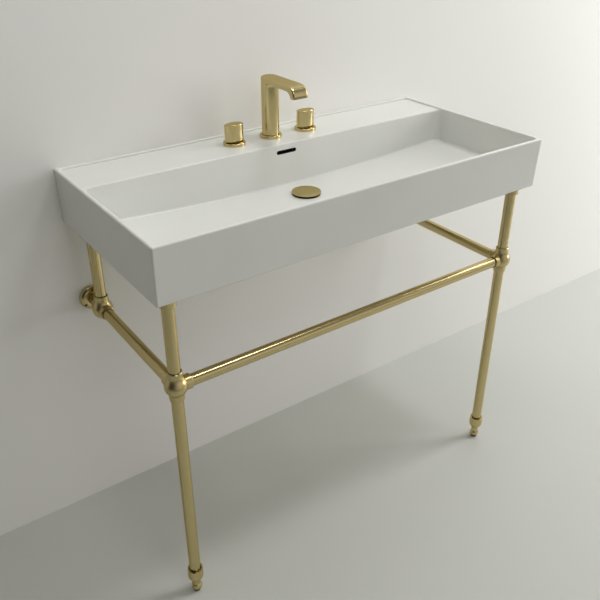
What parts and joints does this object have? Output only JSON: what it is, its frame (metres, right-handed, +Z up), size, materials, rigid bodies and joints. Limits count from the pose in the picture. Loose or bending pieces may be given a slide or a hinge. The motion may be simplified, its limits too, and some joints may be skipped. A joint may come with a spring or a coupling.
{
  "type": "wall-mounted sink",
  "caption": "Wall-hung rectangular fireclay basin with tap deck, widespread spout and knob handles, pop-up drain and a round-tube brass stand with ball fittings and levelling feet.",
  "frame": {"origin": "midway between the two wall-bolt holes, on the back face of the basin", "axes": "+X to the right as one faces the wall, +Y into the wall, +Z up"},
  "size_m": [1.01, 0.4698, 1.054],
  "materials": {
    "fireclay": "white gloss glaze",
    "brushed_brass": "brushed satin",
    "plain_brass": "machined, unplated",
    "steel": "zinc plated",
    "rubber": "matt black",
    "valve_ceramic": "lapped",
    "grey_plastic": "moulded"
  },
  "bodies": {
    "sink": {"basin": "fireclay", "spout_body": "brushed_brass", "spout_base_ring": "brushed_brass", "handle_base_rings": "brushed_brass", "drain_body": "brushed_brass", "front_left_leg": "brushed_brass", "front_right_leg": "brushed_brass", "front_left_post": "brushed_brass", "front_right_post": "brushed_brass", "rear_left_post": "brushed_brass", "rear_right_post": "brushed_brass", "front_rail": "brushed_brass", "left_side_rail": "brushed_brass", "right_side_rail": "brushed_brass", "front_left_fitting": "brushed_brass", "front_right_fitting": "brushed_brass", "rear_left_fitting": "brushed_brass", "rear_right_fitting": "brushed_brass", "wall_stubs": "brushed_brass", "left_wall_flange": "brushed_brass", "right_wall_flange": "brushed_brass", "top_sockets": "brushed_brass", "foot_cups": "brushed_brass", "aerator_housing": "brushed_brass", "drain_tailpiece": "brushed_brass", "spout_shank": "plain_brass", "spout_tee": "plain_brass", "left_valve_body": "plain_brass", "right_valve_body": "plain_brass", "valve_bonnets": "plain_brass", "deck_locknuts": "plain_brass", "left_cross_tube": "plain_brass", "right_cross_tube": "plain_brass", "cross_tube_nuts": "plain_brass", "fitting_set_screws": "steel", "deck_washers": "steel", "drain_washer": "steel", "drain_locknut": "steel", "deck_gaskets": "rubber", "drain_flange_seal": "rubber", "drain_gasket": "rubber", "top_pads": "rubber", "fixed_discs": "valve_ceramic", "aerator_insert": "grey_plastic", "stopper_guide": "grey_plastic"},
    "left_handle": {"left_handle_knob": "brushed_brass", "left_handle_screw": "steel", "left_spindle": "plain_brass", "left_turning_disc": "valve_ceramic"},
    "right_handle": {"right_handle_knob": "brushed_brass", "right_handle_screw": "steel", "right_spindle": "plain_brass", "right_turning_disc": "valve_ceramic"},
    "stopper": {"stopper_cap": "brushed_brass", "stopper_stem": "plain_brass", "stopper_seal": "rubber"},
    "left_foot": {"left_levelling_foot": "brushed_brass", "left_foot_pad": "rubber"},
    "right_foot": {"right_levelling_foot": "brushed_brass", "right_foot_pad": "rubber"}
  },
  "joints": [
    {"name": "left_handle_turn", "type": "hinge", "parent": "sink", "child": "left_handle", "pos_m": [-0.1016, -0.071, 0.065], "axis": [0, 0, 1], "range_deg": [0, 90]},
    {"name": "right_handle_turn", "type": "hinge", "parent": "sink", "child": "right_handle", "pos_m": [0.1016, -0.071, 0.065], "axis": [0, 0, 1], "range_deg": [-90, 0]},
    {"name": "stopper_slide", "type": "slide", "parent": "sink", "child": "stopper", "axis": [0, 0, 1], "range_m": [-0.0042, 0]},
    {"name": "left_foot_level", "type": "slide", "parent": "sink", "child": "left_foot", "axis": [0, 0, 1], "range_m": [-0.012, 0]},
    {"name": "right_foot_level", "type": "slide", "parent": "sink", "child": "right_foot", "axis": [0, 0, 1], "range_m": [-0.012, 0]}
  ]
}
